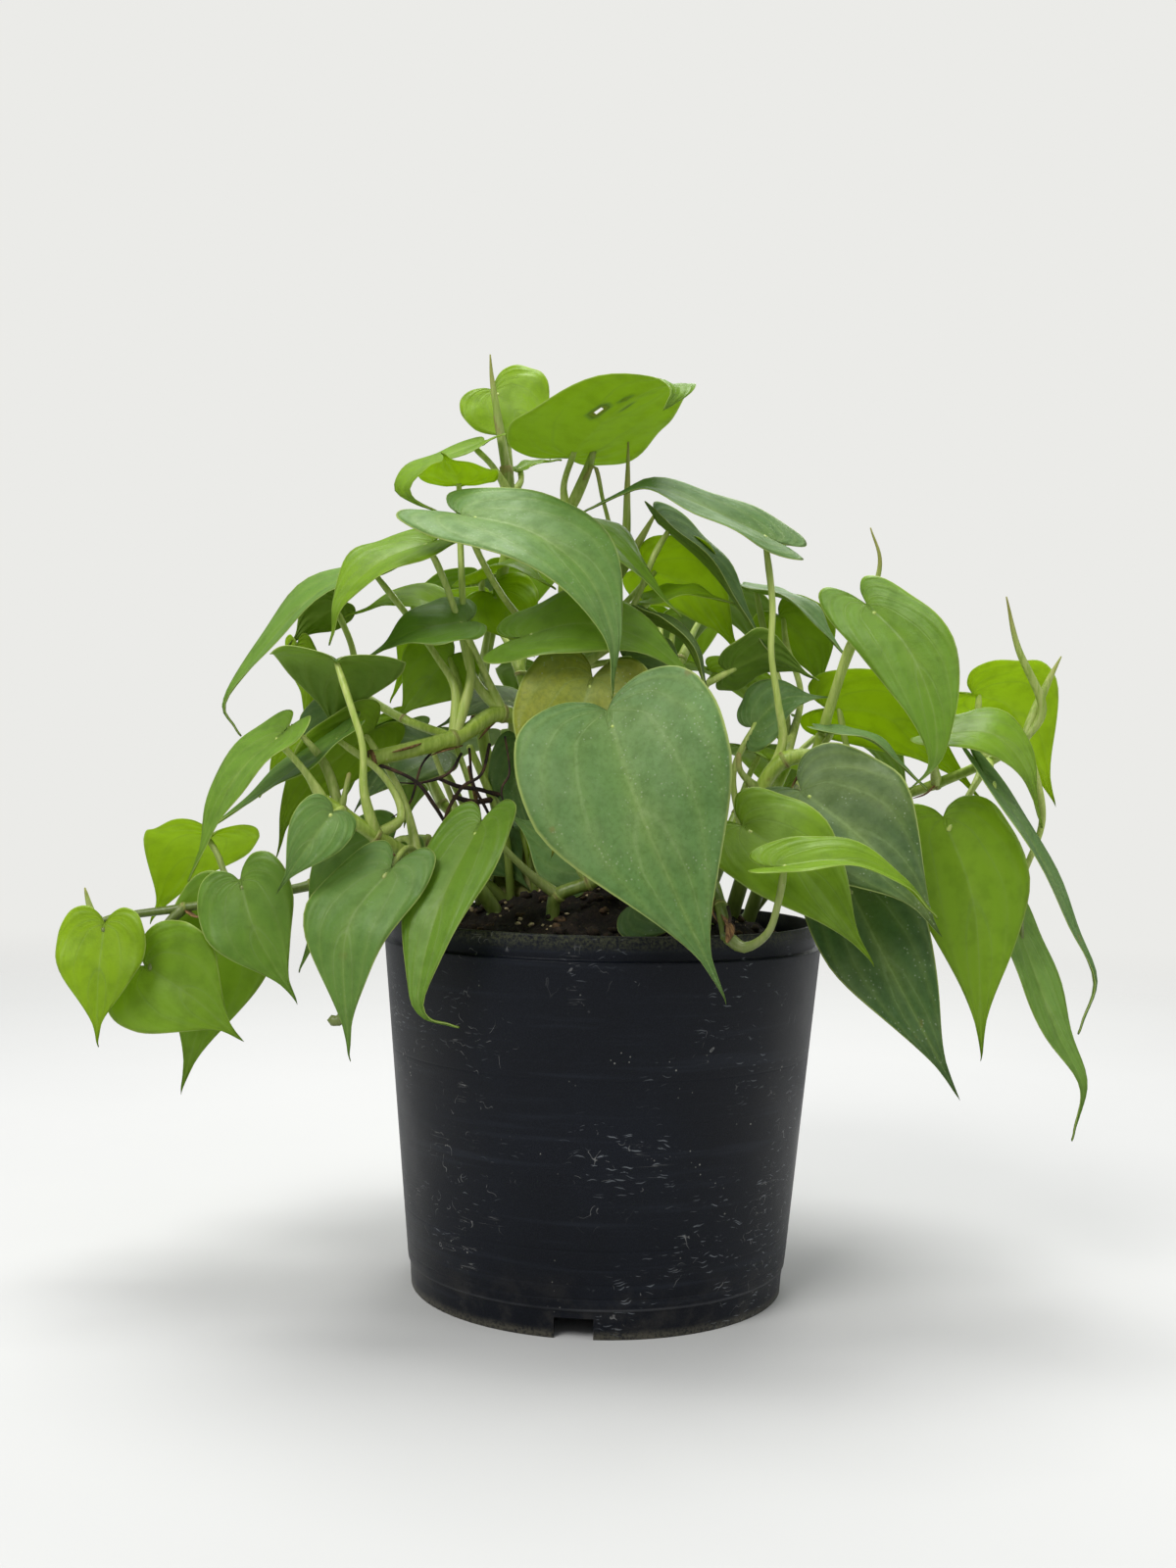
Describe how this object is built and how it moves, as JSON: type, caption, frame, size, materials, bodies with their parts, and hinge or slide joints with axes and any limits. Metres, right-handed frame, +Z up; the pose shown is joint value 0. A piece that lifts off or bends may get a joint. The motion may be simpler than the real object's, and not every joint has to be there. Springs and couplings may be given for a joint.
{
  "type": "potted heartleaf philodendron",
  "caption": "Bushy heartleaf philodendron with arching vines and drooping heart-shaped leaves, growing in soil in a round, tapered black nursery pot.",
  "frame": {"origin": "centre of the flat pad in the middle of the pot's underside, level with the foot it stands on", "axes": "+Z up, -Y towards the viewer of the plant's front, +X to that viewer's right"},
  "size_m": [0.3863, 0.2589, 0.3667],
  "materials": {
    "pot": "satin black, scuffed, dusty at the rim and foot",
    "soil": "damp dark potting soil with pale grit",
    "leaf": "satin green, dusty on old leaves, fresh lime on young ones"
  },
  "bodies": {
    "root": {"pot": "pot", "soil": "soil", "vine_left_low": "leaf", "vine_far_left": "leaf", "vine_cut_stem": "leaf", "vine_top_left": "leaf", "vine_top_centre": "leaf", "vine_centre": "leaf", "vine_front": "leaf", "vine_right_cut": "leaf", "vine_right": "leaf", "vine_front_right": "leaf", "vine_far_right": "leaf", "vine_back_1": "leaf", "vine_back_2": "leaf", "vine_back_3": "leaf", "vine_back_4": "leaf", "vine_back_5": "leaf"}
  },
  "joints": []
}
